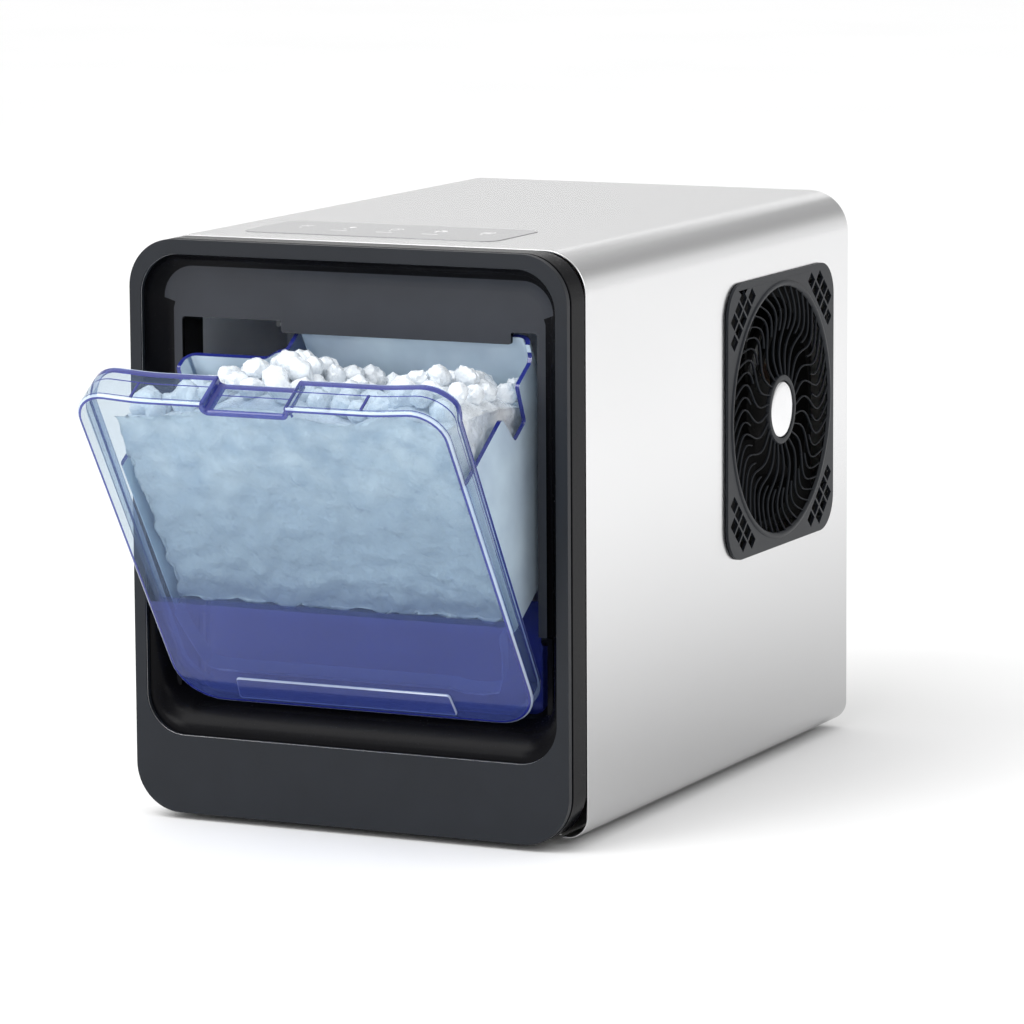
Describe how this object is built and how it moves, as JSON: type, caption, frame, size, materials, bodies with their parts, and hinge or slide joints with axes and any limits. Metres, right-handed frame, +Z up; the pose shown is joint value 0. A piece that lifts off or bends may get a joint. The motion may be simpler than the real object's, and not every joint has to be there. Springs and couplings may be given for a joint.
{
  "type": "ice maker",
  "caption": "Countertop nugget ice maker with a tilt-out transparent ice bin, side fan grille, steel wrap and a cooling and auger drive inside.",
  "frame": {"origin": "on the surface it stands on, under the middle of the bounding box with the bin tilted open", "axes": "+X to the viewer's right of the front, +Y towards the back, +Z up"},
  "size_m": [0.2678, 0.5109, 0.3243],
  "materials": {
    "steel": "satin stainless sheet",
    "slate": "satin dark slate moulding",
    "gloss_black": "glossy black moulding",
    "dark_grey": "semi-gloss dark grey moulding",
    "liner": "satin grey liner",
    "touch": "smooth grey touch panel",
    "circuit": "green circuit board",
    "blue_clear": "transparent blue moulded plastic, polished",
    "tank_blue": "transparent dark blue moulded plastic",
    "chrome": "polished metal",
    "copper": "drawn copper tube",
    "aluminium": "mill-finish aluminium",
    "enamel": "black enamel",
    "black_plastic": "black moulded plastic",
    "rubber": "black rubber",
    "plain": "off-white moulded plastic",
    "zinc": "zinc-plated steel sheet",
    "hose": "translucent silicone hose"
  },
  "bodies": {
    "housing": {"steel_wrap": "steel", "front_frame": "slate", "trim_ring": "gloss_black", "fascia": "dark_grey", "lower_sill": "gloss_black", "control_panel": "touch", "control_board": "circuit", "side_grille": "slate", "hub_disc": "chrome", "fan_frame": "black_plastic", "condenser_fins": "aluminium", "condenser_tube": "copper", "compressor": "enamel", "compressor_mount": "zinc", "compressor_grommet_1": "rubber", "compressor_grommet_2": "rubber", "compressor_grommet_3": "rubber", "terminal_cover": "plain", "evaporator_barrel": "steel", "evaporator_coil": "copper", "ice_head": "plain", "ice_chute": "plain", "gear_motor": "aluminium", "cavity_liner": "liner", "water_tank": "tank_blue", "tank_lid": "tank_blue", "water_pump": "plain", "feed_hose": "hose", "intake_hose": "hose", "drain_hose": "hose", "drain_spout": "black_plastic", "base_pan": "zinc", "foot_front_left": "rubber", "foot_front_right": "rubber", "foot_rear_left": "rubber", "foot_rear_right": "rubber", "rear_cover": "zinc", "power_inlet": "black_plastic", "rear_screw_1": "chrome", "rear_screw_2": "chrome", "rear_screw_3": "chrome", "rear_screw_4": "chrome", "suction_pipe": "copper", "discharge_pipe": "copper", "liquid_pipe": "copper", "capillary_tube": "copper", "filter_drier": "copper", "float_stem": "plain", "ice_level_sensor": "black_plastic"},
    "bin": {"door_shell": "blue_clear", "bin_tray": "blue_clear", "hinge_pin_left": "chrome", "hinge_pin_right": "chrome"},
    "fan": {"fan_rotor": "black_plastic"},
    "auger": {"auger": "steel"},
    "drain_plug": {"drain_plug": "rubber"},
    "tank_float": {"tank_float": "plain"}
  },
  "joints": [
    {"name": "bin_tilt", "type": "hinge", "parent": "housing", "child": "bin", "pos_m": [0, -0.1245, 0.1126], "axis": [1, 0, 0], "range_deg": [-33.3, 0]},
    {"name": "fan_spin", "type": "hinge", "parent": "housing", "child": "fan", "pos_m": [0.113, 0.1445, 0.2065], "axis": [1, 0, 0], "continuous": true},
    {"name": "auger_spin", "type": "hinge", "parent": "housing", "child": "auger", "pos_m": [-0.075, 0.0465, 0.184], "axis": [0, 0, 1], "continuous": true},
    {"name": "drain_plug_pull", "type": "slide", "parent": "housing", "child": "drain_plug", "axis": [0, 1, 0], "range_m": [0, 0.018]},
    {"name": "tank_float_rise", "type": "slide", "parent": "housing", "child": "tank_float", "axis": [0, 0, 1], "range_m": [0, 0.045]}
  ]
}
